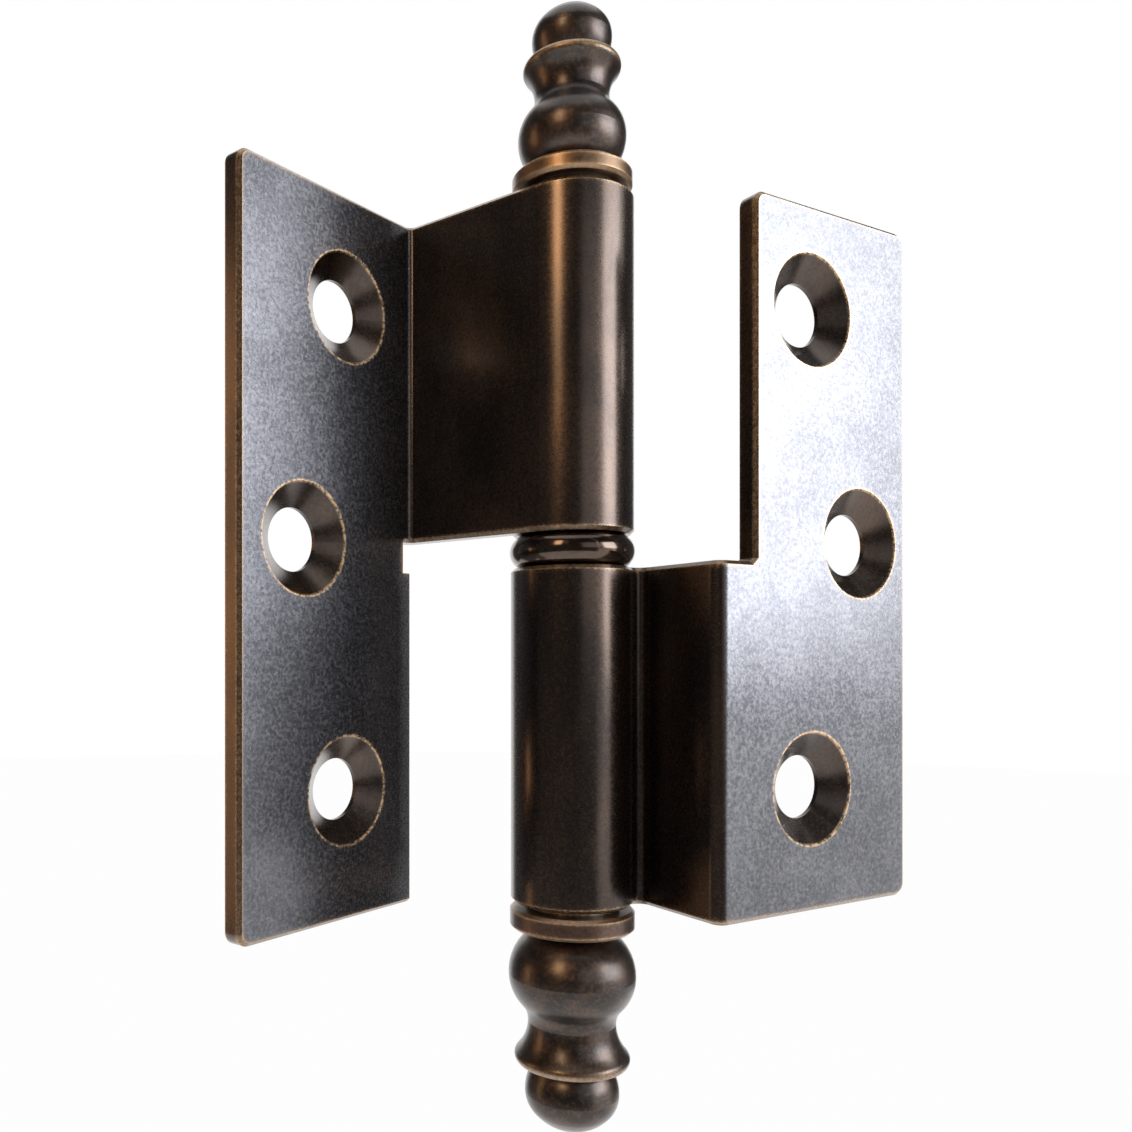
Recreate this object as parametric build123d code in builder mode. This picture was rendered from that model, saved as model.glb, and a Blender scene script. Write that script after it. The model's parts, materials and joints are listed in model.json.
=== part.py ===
"""Cranked lift-off cabinet hinge with turned finials.

All sizes are in millimetres.
The pin stands upright and is built on the Z axis, with Z = 0 at the lower end of the lower knuckle.
Both leaves are drawn as they lie when the hinge is shut, with their webs towards -Y and their
plates towards +X, and the upper leaf is then turned about the pin to its open position.
Last, every piece is shifted so that the origin is the middle of the lower leaf's screw row on the
face that lies against the wood.
"""

import os
from math import atan2, cos, degrees, radians, sin, sqrt

from build123d import *

# Metal thickness and the round pieces on the pin
sheet = 1.6
knuckle_r = 4.25
pin_r = 2.6
running_play = 0.05
lower_knuckle_h = 23.2
ring_h = 2.3
ring_r = 4.33
ring_face_r = 3.6
upper_knuckle_h = 23.4
pin_foot = 4.2
pin_head = 42.6
pin_chamfer = 0.5

# Upper leaf: its web runs off the near side of the knuckle, its plate turns at the far end of it
open_angle = 160.0
upper_crank = 11.2
upper_reach = 20.75
upper_plate_h = 50.0
relief_depth = 1.0
upper_tail_x = 4.1

# Lower leaf: its web is set further out, so that the shut plates lie face to face with a gap
web_offset = 3.45
lower_crank = 10.3
lower_reach = 21.95
lower_plate_h = 47.3
setback = 3.25
lap_start = 118.0
crease_r = 0.5

# Folds and edges
fold_inner_r = 0.3
fold_outer_r = 0.9
corner_r = 0.9
edge_ease = 0.25

# Screw holes, sunk for flat heads
hole_r = 2.15
sink_r = 3.8
sink_depth = 1.3
hole_from_edge = 9.8
upper_mid_from_edge = 5.7
lower_mid_from_edge = 4.9
upper_hole_below_top = 7.7
upper_hole_above_tail = 8.9
lower_hole_below_top = 7.0
lower_hole_above_end = 8.2
hole_mid = 24.9

# Lower finial, measured from the end of the knuckle; the upper one is smaller by one ratio
upper_finial_ratio = 0.85
seat_r = 3.3
lower_seat_h = 0.4
upper_seat_h = 0.55
lower_collar_r = 4.3
lower_collar_h = 1.45
upper_collar_r = 4.15
upper_collar_h = 1.2
collar_ease = 0.2
spigot_l = 3.8
bulb_r = 4.4
bulb_foot_round_r = 3.6
bulb_neck_round_r = 3.1
bulb_at = 5.1
neck_r = 3.04
neck_at = 8.43
lip_r = 3.99
lip_round_r = 0.5
lip_turn = 45.0
lip_at = 10.82
ball_r = 3.26
ball_shoulder_r = 2.0
ball_at = 13.35
ball_end = 15.92
waist_r = 2.5

# Heights that follow from the sizes above
ring_z = lower_knuckle_h
upper_z = ring_z + ring_h
top_z = upper_z + upper_knuckle_h
tail_z = top_z - upper_plate_h
upper_bore_r = pin_r + running_play


def at_height(z):
    return Plane.XY.offset(z)


def box_between(x0, x1, y0, y1, z0, z1):
    """Adds a block given by its limits to the part being built."""
    with Locations(((x0 + x1) / 2, (y0 + y1) / 2, (z0 + z1) / 2)):
        Box(x1 - x0, y1 - y0, z1 - z0)


def sunk_hole(x, face_y, inward, z):
    """Cuts one countersunk hole along Y; inward is the way from the sunk face into the metal."""
    with Locations(Plane(origin=(x, face_y, z), x_dir=(1, 0, 0), z_dir=(0, -inward, 0))):
        CounterSinkHole(
            radius=hole_r,
            counter_sink_radius=sink_r,
            depth=sheet * 2,
            counter_sink_angle=2 * degrees(atan2(sink_r - hole_r, sink_depth)),
        )


def is_at(value, places):
    return any(abs(value - place) < 0.01 for place in places)


def round_plate_corners(part, corner_x, corners_z):
    """Rounds the corners at one upright end of a plate, seen square on."""
    picked = [
        edge
        for edge in part.edges().filter_by(Axis.Y)
        if is_at(edge.center().X, [corner_x]) and is_at(edge.center().Z, corners_z)
    ]
    fillet(picked, radius=corner_r)


def ease_leaf_edges(part, end_heights, plate_ends_x, plate_faces_y):
    """Breaks the sharp edges: round the leaf's end faces, and up the free ends of its plate."""
    picked = []
    for face in part.faces().filter_by(Axis.Z):
        if is_at(face.center().Z, end_heights):
            picked.extend(face.outer_wire().edges())
    for edge in part.edges().filter_by(Axis.Z):
        if is_at(edge.center().X, plate_ends_x) and is_at(edge.center().Y, plate_faces_y):
            picked.append(edge)
    chamfer(picked, length=edge_ease)


# Upper leaf, drawn shut: the sunk face of its plate looks towards +Y
upper_face_y = -upper_crank
upper_back_y = upper_face_y - sheet
with BuildPart() as upper_leaf:
    with BuildSketch(at_height(upper_z)):
        Circle(knuckle_r)
        with BuildLine():
            Polyline(
                (knuckle_r, 0),
                (knuckle_r, upper_face_y),
                (upper_reach, upper_face_y),
                (upper_reach, upper_back_y),
                (knuckle_r - sheet, upper_back_y),
                (knuckle_r - sheet, 0),
                close=True,
            )
        make_face()
        Circle(upper_bore_r, mode=Mode.SUBTRACT)
    extrude(amount=upper_knuckle_h)
    inner_fold = [
        edge
        for edge in upper_leaf.edges().filter_by(Axis.Z)
        if abs(edge.center().X - knuckle_r) < 0.01 and abs(edge.center().Y - upper_face_y) < 0.01
    ]
    fillet(inner_fold, radius=fold_inner_r)
    outer_fold = [
        edge
        for edge in upper_leaf.edges().filter_by(Axis.Z)
        if abs(edge.center().X - knuckle_r + sheet) < 0.01
        and abs(edge.center().Y - upper_back_y) < 0.01
    ]
    fillet(outer_fold, radius=fold_outer_r)
    box_between(
        upper_tail_x + relief_depth, upper_reach, upper_back_y, upper_face_y, tail_z, upper_z
    )
    box_between(upper_tail_x, upper_reach, upper_back_y, upper_face_y, tail_z, ring_z)
    round_plate_corners(upper_leaf, upper_reach, (tail_z, top_z))
    for hole_x, hole_z in (
        (upper_reach - hole_from_edge, top_z - upper_hole_below_top),
        (upper_reach - upper_mid_from_edge, hole_mid),
        (upper_reach - hole_from_edge, tail_z + upper_hole_above_tail),
    ):
        sunk_hole(hole_x, upper_face_y, -1, hole_z)
    ease_leaf_edges(
        upper_leaf,
        (tail_z, upper_z, top_z),
        (upper_tail_x, upper_reach),
        (upper_back_y, upper_face_y),
    )

# Lower leaf, drawn shut: the sunk face of its plate looks towards -Y
lower_face_y = -lower_crank
lower_back_y = lower_face_y + sheet
web_far_x = web_offset + sheet
lap_r = (web_far_x - knuckle_r * cos(radians(lap_start))) / (1 - cos(radians(lap_start)))
lap_x = -(lap_r - knuckle_r) * cos(radians(lap_start))
lap_y = -(lap_r - knuckle_r) * sin(radians(lap_start))
lap_half = radians(lap_start / 2)
crease_x = web_offset - crease_r
crease_y = -sqrt((knuckle_r + crease_r) ** 2 - crease_x**2)
crease_share = knuckle_r / (knuckle_r + crease_r)
crease_turn = atan2(crease_y, crease_x) / 2 + radians(90)
with BuildPart() as lower_leaf:
    with BuildSketch(at_height(0)):
        with BuildLine():
            start = (knuckle_r * cos(radians(lap_start)), knuckle_r * sin(radians(lap_start)))
            ThreePointArc(
                start,
                (lap_x + lap_r * cos(lap_half), lap_y + lap_r * sin(lap_half)),
                (web_far_x, lap_y),
            )
            Polyline(
                (web_far_x, lap_y),
                (web_far_x, lower_back_y),
                (lower_reach, lower_back_y),
                (lower_reach, lower_face_y),
                (web_offset, lower_face_y),
                (web_offset, crease_y),
            )
            ThreePointArc(
                (web_offset, crease_y),
                (
                    crease_x + crease_r * cos(crease_turn),
                    crease_y + crease_r * sin(crease_turn),
                ),
                (crease_x * crease_share, crease_y * crease_share),
            )
            ThreePointArc(
                (crease_x * crease_share, crease_y * crease_share), (-knuckle_r, 0), start
            )
        make_face()
        Circle(pin_r, mode=Mode.SUBTRACT)
    extrude(amount=lower_knuckle_h)
    outer_fold = [
        edge
        for edge in lower_leaf.edges().filter_by(Axis.Z)
        if abs(edge.center().X - web_offset) < 0.01 and abs(edge.center().Y - lower_face_y) < 0.01
    ]
    fillet(outer_fold, radius=fold_outer_r)
    inner_fold = [
        edge
        for edge in lower_leaf.edges().filter_by(Axis.Z)
        if abs(edge.center().X - web_far_x) < 0.01 and abs(edge.center().Y - lower_back_y) < 0.01
    ]
    fillet(inner_fold, radius=fold_inner_r)
    box_between(
        web_offset + setback, lower_reach, lower_face_y, lower_back_y, ring_z, lower_plate_h
    )
    round_plate_corners(lower_leaf, lower_reach, (0, lower_plate_h))
    round_plate_corners(lower_leaf, web_offset + setback, (lower_plate_h,))
    for hole_x, hole_z in (
        (lower_reach - hole_from_edge, lower_plate_h - lower_hole_below_top),
        (lower_reach - lower_mid_from_edge, hole_mid),
        (lower_reach - hole_from_edge, lower_hole_above_end),
    ):
        sunk_hole(hole_x, lower_face_y, 1, hole_z)
    ease_leaf_edges(
        lower_leaf,
        (0, ring_z, lower_plate_h),
        (web_offset + setback, lower_reach),
        (lower_face_y, lower_back_y),
    )

# Pin: fast in the lower knuckle, and the upper knuckle turns and lifts on it
with BuildPart() as hinge_pin:
    with Locations((0, 0, (pin_foot + pin_head) / 2)):
        Cylinder(pin_r, pin_head - pin_foot)
    chamfer(hinge_pin.edges().filter_by(GeomType.CIRCLE), length=pin_chamfer)

# Bearing ring between the knuckles, with a half-round rim
with BuildPart() as bearing_ring:
    with BuildSketch(Plane.XZ):
        with BuildLine():
            Polyline(
                (ring_face_r, ring_z),
                (upper_bore_r, ring_z),
                (upper_bore_r, upper_z),
                (ring_face_r, upper_z),
            )
            ThreePointArc(
                (ring_face_r, upper_z), (ring_r, (ring_z + upper_z) / 2), (ring_face_r, ring_z)
            )
        make_face()
    revolve(axis=Axis.Z)


def meeting_point(centre, radius, other_centre, other_radius):
    """Where two arcs that bend opposite ways touch, on the line between their centres."""
    share = radius / (radius + other_radius)
    across = centre[0] + (other_centre[0] - centre[0]) * share
    along = centre[1] + (other_centre[1] - centre[1]) * share
    return (across, along)


def hollow_radius(round_top, neck, round_r):
    """Radius of the hollow arc that is upright at the neck and runs on into a rounding."""
    across = round_top[0] - neck[0]
    along = round_top[1] - neck[1]
    return (across**2 + along**2) / (2 * across) - round_r


def finial(scale, bore_r, seat_h, collar_r, collar_h):
    """Turned finial standing on +Z, its seat at Z = 0 and its spigot below.

    The outline is all arcs: the bulb is fuller towards its foot and runs into the hollow of the
    neck, the neck sweeps out to a rounded lip, and the ball above the lip has a round shoulder
    and a flatter crown.
    """
    bulb_foot = seat_h + collar_h
    bulb = (bulb_r * scale, bulb_at * scale)
    foot_round = bulb_foot_round_r * scale
    foot_inset = foot_round - sqrt(foot_round**2 - (bulb[1] - bulb_foot) ** 2)
    foot = (bulb[0] - foot_inset, bulb_foot)
    neck_round = bulb_neck_round_r * scale
    neck = (neck_r * scale, neck_at * scale)
    lip = (lip_r * scale, lip_at * scale)
    lip_round = lip_round_r * scale
    lip_centre = (lip[0] - lip_round, lip[1])
    lip_end = (
        lip_centre[0] + lip_round * cos(radians(lip_turn)),
        lip_centre[1] + lip_round * sin(radians(lip_turn)),
    )
    hollow = hollow_radius(bulb, neck, neck_round)
    flare = hollow_radius(lip, neck, lip_round)
    bulb_end = meeting_point(
        (bulb[0] - neck_round, bulb[1]), neck_round, (neck[0] + hollow, neck[1]), hollow
    )
    lip_start = meeting_point(lip_centre, lip_round, (neck[0] + flare, neck[1]), flare)
    ball = ball_r * scale
    ball_z = ball_at * scale
    shoulder = ball_shoulder_r * scale
    crown_h = (ball_end - ball_at) * scale
    waist = (waist_r * scale, ball_z - sqrt(ball**2 - (waist_r * scale) ** 2))
    crown = ((ball - shoulder) ** 2 + crown_h**2 - shoulder**2) / (2 * (crown_h - shoulder))
    crown_share = crown / (crown - shoulder)
    crown_edge = (
        (ball - shoulder) * crown_share,
        ball_z + crown_h - crown + (crown - crown_h) * crown_share,
    )
    with BuildPart() as turned:
        with BuildSketch(Plane.XZ):
            with BuildLine():
                Polyline(
                    (0, ball_end * scale),
                    (0, -spigot_l),
                    (bore_r, -spigot_l),
                    (bore_r, 0),
                    (seat_r, 0),
                    (seat_r, seat_h),
                    (collar_r - collar_ease, seat_h),
                    (collar_r, seat_h + collar_ease),
                    (collar_r, bulb_foot - collar_ease),
                    (collar_r - collar_ease, bulb_foot),
                    foot,
                )
                RadiusArc(foot, bulb, -foot_round)
                RadiusArc(bulb, bulb_end, -neck_round)
                RadiusArc(bulb_end, neck, hollow)
                RadiusArc(neck, lip_start, flare)
                ThreePointArc(lip_start, lip, lip_end)
                Line(lip_end, waist)
                RadiusArc(waist, (ball, ball_z), -ball)
                RadiusArc((ball, ball_z), crown_edge, -shoulder)
                RadiusArc(crown_edge, (0, ball_end * scale), -crown)
            make_face()
        revolve(axis=Axis.Z)
    return turned.part


upper_turned = finial(
    upper_finial_ratio, upper_bore_r, upper_seat_h, upper_collar_r, upper_collar_h
)
lower_turned = finial(1.0, pin_r, lower_seat_h, lower_collar_r, lower_collar_h)

# Places: the finials on their knuckles, the upper leaf turned open, the origin on the screw row
origin_x = lower_reach - hole_from_edge
origin_z = (lower_plate_h - lower_hole_below_top + lower_hole_above_end) / 2
to_origin = Location((-origin_x, -lower_back_y, -origin_z))
opened = Location((0, 0, 0), (0, 0, 1), -open_angle)
pieces = {
    "upper_leaf": to_origin * opened * upper_leaf.part,
    "upper_finial": to_origin * Location((0, 0, top_z)) * upper_turned,
    "bearing_ring": to_origin * bearing_ring.part,
    "hinge_pin": to_origin * hinge_pin.part,
    "lower_leaf": to_origin * lower_leaf.part,
    "lower_finial": to_origin * Location((0, 0, 0), (1, 0, 0), 180) * lower_turned,
}

os.makedirs("parts", exist_ok=True)
for name, piece in pieces.items():
    piece.label = name
    export_step(piece, f"parts/{name}.step")
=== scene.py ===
"""Cranked cabinet hinge in antique brass: finishes for its pieces, and the studio that it stands in."""

import json
from math import atan2, cos, degrees, pi, radians, sin, tan

import bpy
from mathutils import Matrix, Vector


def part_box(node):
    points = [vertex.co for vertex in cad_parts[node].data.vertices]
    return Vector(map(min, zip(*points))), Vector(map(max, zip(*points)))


bl_info = {
    "name": "Cranked cabinet hinge",
    "version": (1, 0, 0),
    "blender": (4, 5, 0),
    "location": "View3D > Sidebar > Hinge",
    "description": "Finishes the hinge's leaves, finials, ring and pin, and sets up the studio",
    "category": "Object",
}

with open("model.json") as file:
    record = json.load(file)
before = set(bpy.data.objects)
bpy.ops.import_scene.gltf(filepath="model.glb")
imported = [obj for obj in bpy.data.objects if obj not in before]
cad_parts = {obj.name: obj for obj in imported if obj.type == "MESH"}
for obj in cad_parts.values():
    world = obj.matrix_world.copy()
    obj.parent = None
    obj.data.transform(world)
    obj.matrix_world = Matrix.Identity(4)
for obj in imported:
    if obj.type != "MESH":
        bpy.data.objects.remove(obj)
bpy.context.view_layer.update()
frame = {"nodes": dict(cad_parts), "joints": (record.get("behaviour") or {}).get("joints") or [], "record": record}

MM = 0.001

# The pin's axis, and the mounts that tell where the screws go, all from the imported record
PIN_AXIS = Vector(next(joint["pos_m"] for joint in frame["joints"] if joint["name"] == "swing"))
MOUNTS = {mount["name"]: mount for mount in frame["record"]["mounts"]}

# Sizes of the pieces that the finishes follow; each collar's two edges are counted from its knuckle's end
SHEET = 1.6 * MM
SINK_R = 3.8 * MM
LOWER_KNUCKLE_H = 23.2 * MM
UPPER_KNUCKLE_H = 23.4 * MM
LOWER_COLLAR = (0.4 * MM, 1.85 * MM)
UPPER_COLLAR = (0.55 * MM, 1.75 * MM)

# Widths of the soft clouds that the bath left in each coat
ROLL_CLOUD = 4 * MM
PLATE_CLOUD = 5 * MM
TURNED_CLOUD = 2.6 * MM
RING_CLOUD = 2.5 * MM

# The die's real lines lie about 0.02 mm apart; ten times that, or they would not show
DRAWN_LINE = 0.2 * MM

# Roughness of each surface, from the low end of its grain to the high end
SHEET_ROUGHNESS = (0.22, 0.32)
TURNED_ROUGHNESS = (0.32, 0.46)
RING_ROUGHNESS = (0.14, 0.2)
STEEL_ROUGHNESS = (0.22, 0.38)

# The photograph's frame in pixels, and the camera that took it, from the hinge's own edges
PHOTO_PX = 1132
FOCAL_PX = 1009.9
AXIS_PX = (393.1, 655.3)
EYE = Vector((-57.51, -47.09, -7.10)) * MM
EYE_TURN = 29.08

# Colours of the lamps: daylight from the window, and two warmer lamps on the left
DAYLIGHT = "#f7faff"
LAMPLIGHT = "#ffd6a6"
LOW_LAMPLIGHT = "#ffc890"

WHITE = (1, 1, 1, 1)
SOFT_GREY = (0.3, 0.3, 0.3, 1)

# The cloth hangs this far behind the lamps and reaches this high. In the window's arc its foot is held up,
# so that the leaves reflect the pale floor beyond it
CLOTH_GAP = 0.1
CLOTH_TOP = 1.0
WINDOW_CLOTH_FOOT = -0.05

FLOOR_R = 3.0
FLOOR_WHITE = 0.98


def linear(hex_colour):
    """The linear colour of an sRGB hex value."""
    channels = [int(hex_colour[i : i + 2], 16) / 255 for i in (1, 3, 5)]
    return [c / 12.92 if c <= 0.04045 else ((c + 0.055) / 1.055) ** 2.4 for c in channels] + [1.0]


def add(tree, kind, settings=None, links=None):
    """Adds one node with its settings; links gives each input a socket to read or a value to hold."""
    node = tree.nodes.new(kind)
    for name, value in (settings or {}).items():
        setattr(node, name, value)
    for name, value in (links or {}).items():
        if isinstance(value, bpy.types.NodeSocket):
            tree.links.new(value, node.inputs[name])
        else:
            node.inputs[name].default_value = value
    return node


def start(name):
    """A new material and its tree, emptied of nodes."""
    material = bpy.data.materials.new(name)
    material.use_nodes = True
    material.node_tree.nodes.clear()
    return material, material.node_tree


def clouded(tree, place, dark, light, size, flat=1.0):
    """A coat that drifts between two tones in soft clouds; flat above 1 draws them out round the pin."""
    drawn = add(tree, "ShaderNodeVectorMath", {"operation": "MULTIPLY"}, {0: place, 1: (1, 1, flat)})
    clouds = add(
        tree,
        "ShaderNodeTexNoise",
        None,
        {"Vector": drawn.outputs[0], "Scale": 1 / size, "Detail": 4.0, "Roughness": 0.6},
    )
    share = add(
        tree,
        "ShaderNodeMapRange",
        {"interpolation_type": "SMOOTHSTEP"},
        {"Value": clouds.outputs["Fac"], "From Min": 0.36, "From Max": 0.64},
    )
    return add(
        tree, "ShaderNodeMix", {"data_type": "RGBA"}, {0: share.outputs[0], 6: dark, 7: light}
    ).outputs[2]


def rubbed_edges(tree, grain, width):
    """1 where an outer edge is rubbed to the metal, broken up by the grain, and 0 away from edges.

    The depth node looks into the metal: it reads 1 under a face and less beside an outer edge.
    """
    depth = add(
        tree,
        "ShaderNodeAmbientOcclusion",
        {"inside": True, "only_local": True, "samples": 8},
        {"Distance": width},
    )
    broken = add(
        tree,
        "ShaderNodeMath",
        {"operation": "MULTIPLY_ADD"},
        {0: grain, 1: 0.4, 2: depth.outputs["AO"]},
    )
    return add(
        tree,
        "ShaderNodeMapRange",
        {"interpolation_type": "SMOOTHSTEP"},
        {"Value": broken.outputs[0], "From Min": 1.08, "From Max": 0.9, "To Min": 0.0, "To Max": 1.0},
    ).outputs[0]


def shade(material, tree, coat, speck, finish, grain, rubbed, roughness, lacquer_roughness):
    """Peppers a coat with specks, lays the rubbed metal over it, and ends the material as brass."""
    lit = add(
        tree,
        "ShaderNodeMapRange",
        {"interpolation_type": "SMOOTHSTEP"},
        {"Value": grain, "From Min": 0.5, "From Max": 0.68, "To Max": finish.speck_share},
    )
    dulled = add(
        tree,
        "ShaderNodeMapRange",
        {"interpolation_type": "SMOOTHSTEP"},
        {"Value": grain, "From Min": 0.52, "From Max": 0.34, "To Max": finish.pit_share},
    )
    peppered = add(
        tree, "ShaderNodeMix", {"data_type": "RGBA"}, {0: lit.outputs[0], 6: coat, 7: speck}
    )
    pitted = add(
        tree,
        "ShaderNodeMix",
        {"data_type": "RGBA"},
        {0: dulled.outputs[0], 6: peppered.outputs[2], 7: finish.pit},
    )
    worn = add(
        tree,
        "ShaderNodeMix",
        {"data_type": "RGBA"},
        {0: rubbed, 6: pitted.outputs[2], 7: finish.bare},
    )
    rough = add(
        tree,
        "ShaderNodeMapRange",
        None,
        {"Value": grain, "From Min": 0.3, "From Max": 0.7, "To Min": roughness[0], "To Max": roughness[1]},
    )
    scuffed = add(
        tree, "ShaderNodeMix", None, {0: rubbed, 2: rough.outputs[0], 3: finish.bare_roughness}
    )
    bump = add(tree, "ShaderNodeBump", None, {"Distance": finish.grain_depth, "Height": grain})
    shader = add(
        tree,
        "ShaderNodeBsdfPrincipled",
        None,
        {
            "Base Color": worn.outputs[2],
            "Metallic": 1.0,
            "Roughness": scuffed.outputs[0],
            "Normal": bump.outputs[0],
            "Coat Weight": finish.lacquer,
            "Coat Roughness": lacquer_roughness,
        },
    )
    add(tree, "ShaderNodeOutputMaterial", None, {"Surface": shader.outputs[0]})
    return material


def screw_rims(tree, place, holes, axis, height, grain):
    """Two shares round the countersinks: the rubbed outer rims, and the part outside them."""
    nearest = None
    for hole in holes:
        away = add(tree, "ShaderNodeVectorMath", {"operation": "SUBTRACT"}, {0: place, 1: hole})
        across = add(
            tree, "ShaderNodeVectorMath", {"operation": "CROSS_PRODUCT"}, {0: away.outputs[0], 1: axis}
        )
        reach = add(tree, "ShaderNodeVectorMath", {"operation": "LENGTH"}, {0: across.outputs[0]})
        if nearest is None:
            nearest = reach.outputs["Value"]
        else:
            nearest = add(
                tree, "ShaderNodeMath", {"operation": "MINIMUM"}, {0: nearest, 1: reach.outputs["Value"]}
            ).outputs[0]
    off_rim = add(tree, "ShaderNodeMath", {"operation": "SUBTRACT"}, {0: nearest, 1: SINK_R})
    width = add(tree, "ShaderNodeMath", {"operation": "ABSOLUTE"}, {0: off_rim.outputs[0]})
    line = add(
        tree,
        "ShaderNodeMapRange",
        {"interpolation_type": "SMOOTHSTEP"},
        {"Value": width.outputs[0], "From Min": 0.16 * MM, "From Max": 0.03 * MM},
    )
    front = add(
        tree,
        "ShaderNodeMapRange",
        {"interpolation_type": "SMOOTHSTEP"},
        {"Value": height, "From Min": SHEET - 0.35 * MM, "From Max": SHEET - 0.15 * MM},
    )
    broken = add(
        tree,
        "ShaderNodeMapRange",
        {"interpolation_type": "SMOOTHSTEP"},
        {"Value": grain, "From Min": 0.4, "From Max": 0.56},
    )
    faced = add(
        tree, "ShaderNodeMath", {"operation": "MULTIPLY"}, {0: line.outputs[0], 1: front.outputs[0]}
    )
    rims = add(
        tree, "ShaderNodeMath", {"operation": "MULTIPLY"}, {0: faced.outputs[0], 1: broken.outputs[0]}
    )
    outside = add(
        tree,
        "ShaderNodeMapRange",
        {"interpolation_type": "SMOOTHSTEP"},
        {"Value": nearest, "From Min": SINK_R - 0.4 * MM, "From Max": SINK_R},
    )
    return rims.outputs[0], outside.outputs[0]


def plate_share(tree, facing, axis, height):
    """1 on the flat of the plate, front and back, and 0 on its edges, its fold and its countersinks."""
    middle = add(tree, "ShaderNodeMath", {"operation": "SUBTRACT"}, {0: height, 1: SHEET / 2})
    off_plate = add(tree, "ShaderNodeMath", {"operation": "ABSOLUTE"}, {0: middle.outputs[0]})
    within = add(
        tree,
        "ShaderNodeMapRange",
        {"interpolation_type": "SMOOTHSTEP"},
        {"Value": off_plate.outputs[0], "From Min": 1.25 * SHEET, "From Max": 0.75 * SHEET},
    )
    turned = add(tree, "ShaderNodeVectorMath", {"operation": "DOT_PRODUCT"}, {0: facing, 1: axis})
    square_on = add(tree, "ShaderNodeMath", {"operation": "ABSOLUTE"}, {0: turned.outputs["Value"]})
    level = add(
        tree,
        "ShaderNodeMapRange",
        {"interpolation_type": "SMOOTHSTEP"},
        {"Value": square_on.outputs[0], "From Min": 0.85, "From Max": 0.98},
    )
    return add(
        tree, "ShaderNodeMath", {"operation": "MULTIPLY"}, {0: within.outputs[0], 1: level.outputs[0]}
    ).outputs[0]


def leaf_material(name, screws, middle_screw, finish):
    """Folded brass sheet in a dark bath patina.

    The plates were brushed over after the bath, which leaves them a cool steely grey peppered with
    fine light specks; the rolled knuckle and the web keep the full brown-black coat. Edges and
    countersink rims are rubbed to thin broken lines of pale gold.
    """
    material, tree = start(name)
    where = add(tree, "ShaderNodeTexCoord").outputs
    place = where["Object"]
    axis = Vector(MOUNTS[screws]["axis"])
    back = Vector(MOUNTS[screws]["pos_m"])
    spread = MOUNTS[screws]["dims"].get("spacing_y_mm") or MOUNTS[screws]["dims"]["pcd_mm"]
    upright = Vector((0, 0, spread * MM / 2))
    holes = (back + upright, back - upright, Vector(MOUNTS[middle_screw]["pos_m"]))
    grain = add(
        tree,
        "ShaderNodeTexNoise",
        None,
        {"Vector": place, "Scale": 1 / finish.grain_size, "Detail": 3.0, "Roughness": 0.65},
    ).outputs["Fac"]
    above = add(tree, "ShaderNodeVectorMath", {"operation": "SUBTRACT"}, {0: place, 1: back})
    height = add(
        tree, "ShaderNodeVectorMath", {"operation": "DOT_PRODUCT"}, {0: above.outputs[0], 1: axis}
    ).outputs["Value"]
    flat = plate_share(tree, where["Normal"], axis, height)
    coat = add(
        tree,
        "ShaderNodeMix",
        {"data_type": "RGBA"},
        {
            0: flat,
            6: clouded(tree, place, finish.roll_dark, finish.roll_light, ROLL_CLOUD, 0.4),
            7: clouded(tree, place, finish.plate_dark, finish.plate_light, PLATE_CLOUD),
        },
    )
    rims, outside = screw_rims(tree, place, holes, axis, height, grain)
    edges = add(
        tree,
        "ShaderNodeMath",
        {"operation": "MULTIPLY"},
        {0: rubbed_edges(tree, grain, finish.wear_width), 1: outside},
    )
    rubbed = add(tree, "ShaderNodeMath", {"operation": "MAXIMUM"}, {0: edges.outputs[0], 1: rims})
    speck = add(
        tree,
        "ShaderNodeMix",
        {"data_type": "RGBA"},
        {0: flat, 6: finish.roll_speck, 7: finish.plate_speck},
    )
    return shade(
        material,
        tree,
        coat.outputs[2],
        speck.outputs[2],
        finish,
        grain,
        rubbed.outputs[0],
        SHEET_ROUGHNESS,
        finish.sheet_lacquer,
    )


def finial_material(name, collar, bare_collar, finish):
    """Turned brass in a dark brown bath patina, with its collar burnished by the polishing wheel.

    Soft brown clouds run round the turning, the lip and the collar's edges show bare gold, and the
    highlights sparkle on the grain.
    """
    material, tree = start(name)
    place = add(tree, "ShaderNodeTexCoord").outputs["Object"]
    grain = add(
        tree,
        "ShaderNodeTexNoise",
        None,
        {"Vector": place, "Scale": 1 / finish.grain_size, "Detail": 3.0, "Roughness": 0.65},
    ).outputs["Fac"]
    coat = clouded(tree, place, finish.turned_dark, finish.turned_light, TURNED_CLOUD, 2.2)
    upright = add(tree, "ShaderNodeSeparateXYZ", None, {0: place})
    middle = (collar[0] + collar[1]) / 2
    half = abs(collar[1] - collar[0]) / 2
    off = add(
        tree, "ShaderNodeMath", {"operation": "SUBTRACT"}, {0: upright.outputs["Z"], 1: middle}
    )
    away = add(tree, "ShaderNodeMath", {"operation": "ABSOLUTE"}, {0: off.outputs[0]})
    band = add(
        tree,
        "ShaderNodeMapRange",
        {"interpolation_type": "SMOOTHSTEP"},
        {"Value": away.outputs[0], "From Min": half + 0.1 * MM, "From Max": half - 0.1 * MM},
    )
    burnished = add(
        tree, "ShaderNodeMix", {"data_type": "RGBA"}, {0: band.outputs[0], 6: coat, 7: bare_collar}
    )
    return shade(
        material,
        tree,
        burnished.outputs[2],
        finish.turned_speck,
        finish,
        grain,
        rubbed_edges(tree, grain, finish.wear_width),
        TURNED_ROUGHNESS,
        finish.turned_lacquer,
    )


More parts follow.
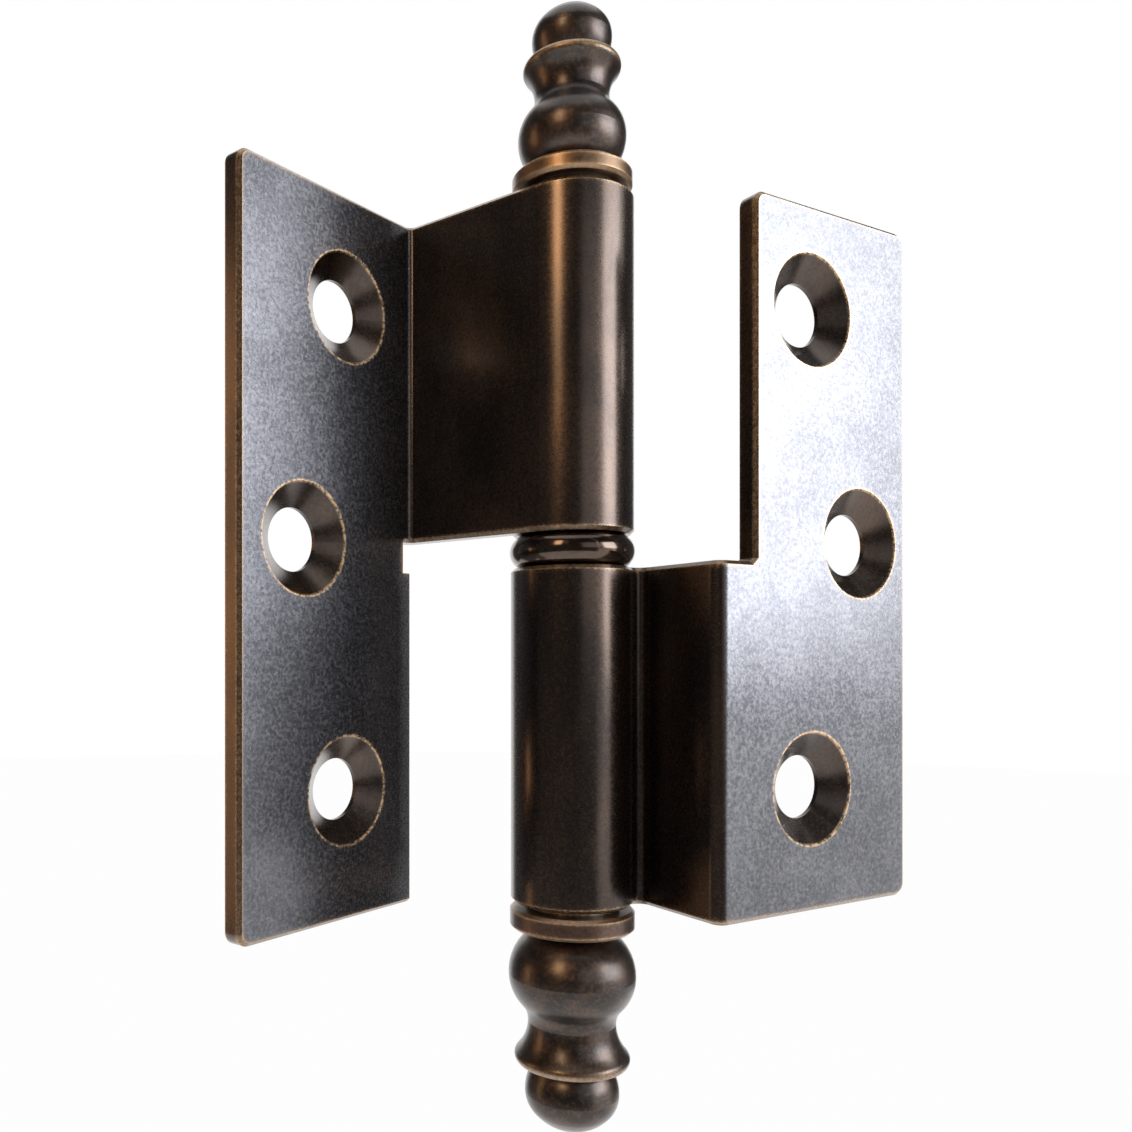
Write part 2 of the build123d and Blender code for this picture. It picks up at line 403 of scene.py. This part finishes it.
def ring_material(finish):
    """Half-round bearing ring in polished dark bronze, smooth enough for sharp round highlights."""
    material, tree = start("polished dark bronze")
    place = add(tree, "ShaderNodeTexCoord").outputs["Object"]
    # Polishing leaves only the broader hollows of the grain, so it is twice as coarse here
    grain = add(
        tree,
        "ShaderNodeTexNoise",
        None,
        {"Vector": place, "Scale": 1 / (2 * finish.grain_size), "Detail": 3.0, "Roughness": 0.65},
    ).outputs["Fac"]
    return shade(
        material,
        tree,
        clouded(tree, place, finish.ring_dark, finish.ring_light, RING_CLOUD, 2.0),
        finish.roll_speck,
        finish,
        grain,
        rubbed_edges(tree, grain, finish.wear_width),
        RING_ROUGHNESS,
        finish.ring_lacquer,
    )


def pin_material(finish):
    """Cold-drawn steel pin: bright grey, with the fine upright lines of the drawing die."""
    material, tree = start("drawn steel")
    place = add(tree, "ShaderNodeTexCoord").outputs["Object"]
    drawn = add(tree, "ShaderNodeVectorMath", {"operation": "MULTIPLY"}, {0: place, 1: (1, 1, 0.02)})
    lines = add(
        tree,
        "ShaderNodeTexNoise",
        None,
        {"Vector": drawn.outputs[0], "Scale": 1 / DRAWN_LINE, "Detail": 2.0},
    ).outputs["Fac"]
    colour = add(
        tree,
        "ShaderNodeMix",
        {"data_type": "RGBA"},
        {0: lines, 6: finish.steel_dark, 7: finish.steel_light},
    )
    rough = add(
        tree,
        "ShaderNodeMapRange",
        None,
        {"Value": lines, "To Min": STEEL_ROUGHNESS[0], "To Max": STEEL_ROUGHNESS[1]},
    )
    shader = add(
        tree,
        "ShaderNodeBsdfPrincipled",
        None,
        {"Base Color": colour.outputs[2], "Metallic": 1.0, "Roughness": rough.outputs[0]},
    )
    add(tree, "ShaderNodeOutputMaterial", None, {"Surface": shader.outputs[0]})
    return material


def give(node, material):
    """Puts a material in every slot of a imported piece."""
    slots = frame["nodes"][node].material_slots
    if not slots:
        raise RuntimeError(f"{node} has no material slot")
    for slot in slots:
        slot.material = material


def colour_property(name, description, hex_colour):
    """A colour that a user may change, given as an sRGB hex value."""
    return bpy.props.FloatVectorProperty(
        name=name,
        description=description,
        subtype="COLOR",
        size=4,
        min=0,
        max=1,
        default=linear(hex_colour),
    )


def share_property(name, description, share):
    """A share from 0 to 1 that a user may change."""
    return bpy.props.FloatProperty(
        name=name, description=description, subtype="FACTOR", min=0, max=1, default=share
    )


def length_property(name, description, metres):
    """A length that a user may change."""
    return bpy.props.FloatProperty(name=name, description=description, unit="LENGTH", default=metres)


class HingeFinish(bpy.types.PropertyGroup):
    """Colours and sizes of the hinge's finishes"""

    plate_dark: colour_property("Plate, dark", "Darker clouds of the flat plates", "#64656c")
    plate_light: colour_property("Plate, light", "Lighter clouds of the flat plates", "#73747b")
    roll_dark: colour_property("Roll, dark", "Darker clouds of knuckles and webs", "#3a2d25")
    roll_light: colour_property("Roll, light", "Lighter clouds of knuckles and webs", "#5a473a")
    ring_dark: colour_property("Ring, dark", "Darker clouds of the bearing ring", "#3c2d23")
    ring_light: colour_property("Ring, light", "Lighter clouds of the bearing ring", "#5a4637")
    plate_speck: colour_property("Plate specks", "Fine light specks on the plates", "#a09b95")
    roll_speck: colour_property("Roll specks", "Fine light specks on knuckles, webs and ring", "#5c4a3e")
    turned_dark: colour_property("Turning, dark", "Darker clouds of the finials", "#2b231f")
    turned_light: colour_property("Turning, light", "Lighter clouds of the finials", "#574438")
    turned_speck: colour_property("Turning specks", "Fine light specks on the finials", "#75604f")
    pit: colour_property("Pits", "Fine dark specks in the coat", "#2a2526")
    bare: colour_property("Bare brass", "Metal where the coat is rubbed through", "#dab68c")
    upper_collar: colour_property("Upper collar", "Burnished band under the upper finial", "#8f6f50")
    # The lower collar is burnished brass like the upper one; its darker colour is painted shade, for the dim space
    # below it
    lower_collar_shaded: colour_property("Lower collar", "Burnished band over the lower finial", "#5f4436")
    steel_dark: colour_property("Steel, dark", "Darker lines along the pin", "#9c9c9a")
    steel_light: colour_property("Steel, light", "Lighter lines along the pin", "#c9c9c6")
    speck_share: share_property("Speck strength", "How strongly the light specks show", 0.4)
    pit_share: share_property("Pit strength", "How strongly the dark specks show", 0.45)
    bare_roughness: share_property("Bare roughness", "Roughness of the rubbed metal", 0.5)
    lacquer: share_property("Lacquer", "How much clear lacquer lies over the coat", 1.0)
    sheet_lacquer: share_property("Sheet lacquer", "Roughness of the lacquer on the leaves", 0.24)
    turned_lacquer: share_property("Turned lacquer", "Roughness of the lacquer on the finials", 0.28)
    ring_lacquer: share_property("Ring lacquer", "Roughness of the lacquer on the ring", 0.12)
    # Tumbling before the bath leaves a grain of about 0.12 mm; twice that, or it would not show
    grain_size: length_property("Grain size", "Spacing of the specks", 0.24 * MM)
    grain_depth: length_property("Grain depth", "Depth of the grain", 0.003 * MM)
    wear_width: length_property("Worn edge", "Width of the rubbed edges", 0.5 * MM)


class HingeStudio(bpy.types.PropertyGroup):
    """Lamps, cloth and floor of the studio"""

    distance: length_property("Lamp distance", "From the pin to each lamp", 0.6)
    window: bpy.props.FloatProperty(
        name="Window", description="Radiance of the large window lamp", default=6.8, min=0
    )
    fill: bpy.props.FloatProperty(
        name="Front fill", description="Radiance of the dim fill beside the window", default=0.6, min=0
    )
    warm: bpy.props.FloatProperty(
        name="Warm lamps", description="Radiance of the two warm lamps", default=8.0, min=0
    )
    cloth: colour_property("Cloth", "Cloth round the front and sides", "#7a7a7a")
    floor: colour_property("Floor", "Pale floor", "#f2f2f2")
    floor_depth: length_property("Floor depth", "From the hinge's middle down to the floor", 0.3)


class HINGE_OT_leaves(bpy.types.Operator):
    """Gives both leaves their brushed plates, dark knuckles and rubbed edges"""

    bl_idname = "hinge.leaves"
    bl_label = "Leaves"

    def execute(self, context):
        finish = context.scene.hinge_finish
        for side in ("upper", "lower"):
            name = f"patinated sheet, {side}"
            give(f"{side}_leaf", leaf_material(name, f"{side}_screws", f"{side}_middle_screw", finish))
        return {"FINISHED"}


class HINGE_OT_finials(bpy.types.Operator):
    """Gives the two finials their cloudy brown coat, bare lip and burnished collar"""

    bl_idname = "hinge.finials"
    bl_label = "Finials"

    def execute(self, context):
        finish = context.scene.hinge_finish
        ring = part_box("bearing_ring")
        top = ring[1].z + UPPER_KNUCKLE_H
        foot = ring[0].z - LOWER_KNUCKLE_H
        upper = tuple(top + height for height in UPPER_COLLAR)
        lower = tuple(foot - height for height in LOWER_COLLAR)
        give("upper_finial", finial_material("bronzed turning, upper", upper, finish.upper_collar, finish))
        # The lower collar's darker colour is painted shade laid over its burnished brass
        give("lower_finial", finial_material("bronzed turning, lower", lower, finish.lower_collar_shaded, finish))
        return {"FINISHED"}


class HINGE_OT_ring(bpy.types.Operator):
    """Gives the bearing ring its polished bronze"""

    bl_idname = "hinge.ring"
    bl_label = "Bearing ring"

    def execute(self, context):
        give("bearing_ring", ring_material(context.scene.hinge_finish))
        return {"FINISHED"}


class HINGE_OT_pin(bpy.types.Operator):
    """Gives the pin its drawn steel"""

    bl_idname = "hinge.pin"
    bl_label = "Pin"

    def execute(self, context):
        give("hinge_pin", pin_material(context.scene.hinge_finish))
        return {"FINISHED"}


def towards(azimuth, elevation):
    """The direction that lies at an azimuth, from the front towards the right, and an elevation."""
    turn, lift = radians(azimuth), radians(elevation)
    return Vector((sin(turn) * cos(lift), -cos(turn) * cos(lift), sin(lift)))


def soft_box(name, azimuths, elevations, distance, radiance, colour):
    """A rectangular lamp that fills a range of azimuth and elevation, seen from the pin at eye level."""
    middle = towards(sum(azimuths) / 2, sum(elevations) / 2)
    light = bpy.data.lights.new(name, "AREA")
    light.shape = "RECTANGLE"
    light.size = 2 * distance * tan(radians(azimuths[1] - azimuths[0]) / 2)
    light.size_y = 2 * distance * tan(radians(elevations[1] - elevations[0]) / 2)
    light.energy = radiance * pi * light.size * light.size_y
    light.color = linear(colour)[:3]
    lamp = bpy.data.objects.new(name, light)
    lamp.visible_camera = False
    lamp.location = Vector((PIN_AXIS.x, PIN_AXIS.y, EYE.z)) + middle * distance
    lamp.rotation_mode = "QUATERNION"
    lamp.rotation_quaternion = (-middle).to_track_quat("-Z", "Y")
    bpy.context.scene.collection.objects.link(lamp)


def cloth_wall(azimuths, foot, distance, colour):
    """Matt cloth hung in an arc round the hinge, out of the picture.

    It is darker than the background, so the polished metal reflects it and looks as dark as it is.
    """
    bpy.ops.object.select_all(action="DESELECT")
    bpy.ops.mesh.primitive_circle_add(
        vertices=180, radius=distance, location=(PIN_AXIS.x, PIN_AXIS.y, foot)
    )
    wall = bpy.context.object
    wall.name = "cloth"
    bpy.ops.object.mode_set(mode="EDIT")
    bpy.ops.mesh.select_mode(type="VERT")
    bpy.ops.mesh.select_all(action="DESELECT")
    bpy.ops.object.mode_set(mode="OBJECT")
    for vertex in wall.data.vertices:
        azimuth = degrees(atan2(vertex.co.x, -vertex.co.y))
        vertex.select = not azimuths[0] <= azimuth <= azimuths[1]
    bpy.ops.object.mode_set(mode="EDIT")
    bpy.ops.mesh.delete(type="VERT")
    bpy.ops.mesh.select_all(action="SELECT")
    bpy.ops.mesh.extrude_region_move(TRANSFORM_OT_translate={"value": (0, 0, CLOTH_TOP - foot)})
    bpy.ops.object.mode_set(mode="OBJECT")
    bpy.ops.object.transform_apply(location=True, rotation=True, scale=True)
    if not wall.data.polygons:
        raise RuntimeError("the cloth has no faces")
    material, tree = start("dark matt cloth")
    shader = add(tree, "ShaderNodeBsdfPrincipled", None, {"Base Color": colour, "Roughness": 0.9})
    add(tree, "ShaderNodeOutputMaterial", None, {"Surface": shader.outputs[0]})
    wall.data.materials.append(material)
    wall.visible_camera = False


def plainly_seen(tree):
    """1 for rays from the camera, in a reflection or through glass, which see the background as white."""
    path = add(tree, "ShaderNodeLightPath")
    direct = add(
        tree,
        "ShaderNodeMath",
        {"operation": "MAXIMUM"},
        {0: path.outputs["Is Camera Ray"], 1: path.outputs["Is Glossy Ray"]},
    )
    return add(
        tree,
        "ShaderNodeMath",
        {"operation": "MAXIMUM"},
        {0: direct.outputs[0], 1: path.outputs["Is Transmission Ray"]},
    ).outputs[0]


def white_world():
    """White where it is seen, and a soft grey fill for everything that it lights."""
    world = bpy.data.worlds.new("studio")
    world.use_nodes = True
    tree = world.node_tree
    tree.nodes.clear()
    fill = add(tree, "ShaderNodeBackground", None, {"Color": SOFT_GREY})
    white = add(tree, "ShaderNodeBackground", None, {"Color": WHITE})
    mixed = add(
        tree, "ShaderNodeMixShader", None, {0: plainly_seen(tree), 1: fill.outputs[0], 2: white.outputs[0]}
    )
    add(tree, "ShaderNodeOutputWorld", None, {"Surface": mixed.outputs[0]})
    return world


def pale_floor(colour, depth):
    """A large pale floor that runs into the white background and still takes the hinge's shadow."""
    bpy.ops.object.select_all(action="DESELECT")
    bpy.ops.mesh.primitive_circle_add(
        vertices=96, radius=FLOOR_R, fill_type="NGON", location=(PIN_AXIS.x, PIN_AXIS.y, -depth)
    )
    floor = bpy.context.object
    floor.name = "floor"
    bpy.ops.object.transform_apply(location=True, rotation=True, scale=True)
    material, tree = start("matt pale floor")
    matt = add(tree, "ShaderNodeBsdfDiffuse", None, {"Color": colour})
    white = add(tree, "ShaderNodeEmission", None, {"Color": WHITE, "Strength": 1.0})
    share = add(
        tree, "ShaderNodeMath", {"operation": "MULTIPLY"}, {0: plainly_seen(tree), 1: FLOOR_WHITE}
    )
    mixed = add(
        tree, "ShaderNodeMixShader", None, {0: share.outputs[0], 1: matt.outputs[0], 2: white.outputs[0]}
    )
    add(tree, "ShaderNodeOutputMaterial", None, {"Surface": mixed.outputs[0]})
    floor.data.materials.append(material)


class HINGE_OT_studio(bpy.types.Operator):
    """Sets up the floor, the cloth, the lamps and the camera"""

    bl_idname = "hinge.studio"
    bl_label = "Studio"

    def execute(self, context):
        scene = context.scene
        studio = scene.hinge_studio
        scene.view_settings.view_transform = "Standard"
        camera = bpy.data.cameras.new("camera")
        camera.sensor_width = 36
        camera.lens = FOCAL_PX / PHOTO_PX * camera.sensor_width
        camera.shift_x = (PHOTO_PX / 2 - AXIS_PX[0]) / PHOTO_PX
        camera.shift_y = (AXIS_PX[1] - PHOTO_PX / 2) / PHOTO_PX
        camera.clip_start = 0.005
        camera.clip_end = 20
        eye = bpy.data.objects.new("camera", camera)
        eye.location = EYE
        eye.rotation_euler = (radians(90), 0, -radians(EYE_TURN))
        scene.collection.objects.link(eye)
        scene.camera = eye
        scene.world = white_world()
        away = studio.distance
        soft_box("window", (21, 55), (0, 28), away, studio.window, DAYLIGHT)
        soft_box("window curtain", (55, 66.5), (-3, 30), away, studio.window / 5, DAYLIGHT)
        soft_box("front fill", (-20, 21), (0, 28), away, studio.fill, DAYLIGHT)
        soft_box("warm lamp", (-71, -59), (19, 42), away, studio.warm, LAMPLIGHT)
        soft_box("low warm lamp", (-130, -118), (-15, 22), away, studio.warm / 4, LOW_LAMPLIGHT)
        cloth_wall((-178, 12), -studio.floor_depth, away + CLOTH_GAP, studio.cloth)
        cloth_wall((12, 66), WINDOW_CLOTH_FOOT, away + CLOTH_GAP, studio.cloth)
        cloth_wall((66, 120), -studio.floor_depth, away + CLOTH_GAP, studio.cloth)
        pale_floor(studio.floor, studio.floor_depth)
        return {"FINISHED"}


class HINGE_PT_panel(bpy.types.Panel):
    """Lists the hinge's operators"""

    bl_label = "Cabinet hinge"
    bl_idname = "HINGE_PT_panel"
    bl_space_type = "VIEW_3D"
    bl_region_type = "UI"
    bl_category = "Hinge"

    def draw(self, context):
        for operator in STEPS:
            self.layout.operator(operator.bl_idname)


STEPS = (HINGE_OT_leaves, HINGE_OT_finials, HINGE_OT_ring, HINGE_OT_pin, HINGE_OT_studio)
CLASSES = (HingeFinish, HingeStudio) + STEPS + (HINGE_PT_panel,)


def register():
    for item in CLASSES:
        bpy.utils.register_class(item)
    bpy.types.Scene.hinge_finish = bpy.props.PointerProperty(type=HingeFinish)
    bpy.types.Scene.hinge_studio = bpy.props.PointerProperty(type=HingeStudio)


def unregister():
    del bpy.types.Scene.hinge_studio
    del bpy.types.Scene.hinge_finish
    for item in reversed(CLASSES):
        bpy.utils.unregister_class(item)


def main():
    register()
    bpy.ops.hinge.leaves()
    bpy.ops.hinge.finials()
    bpy.ops.hinge.ring()
    bpy.ops.hinge.pin()
    bpy.ops.hinge.studio()


if __name__ == "__main__":
    main()
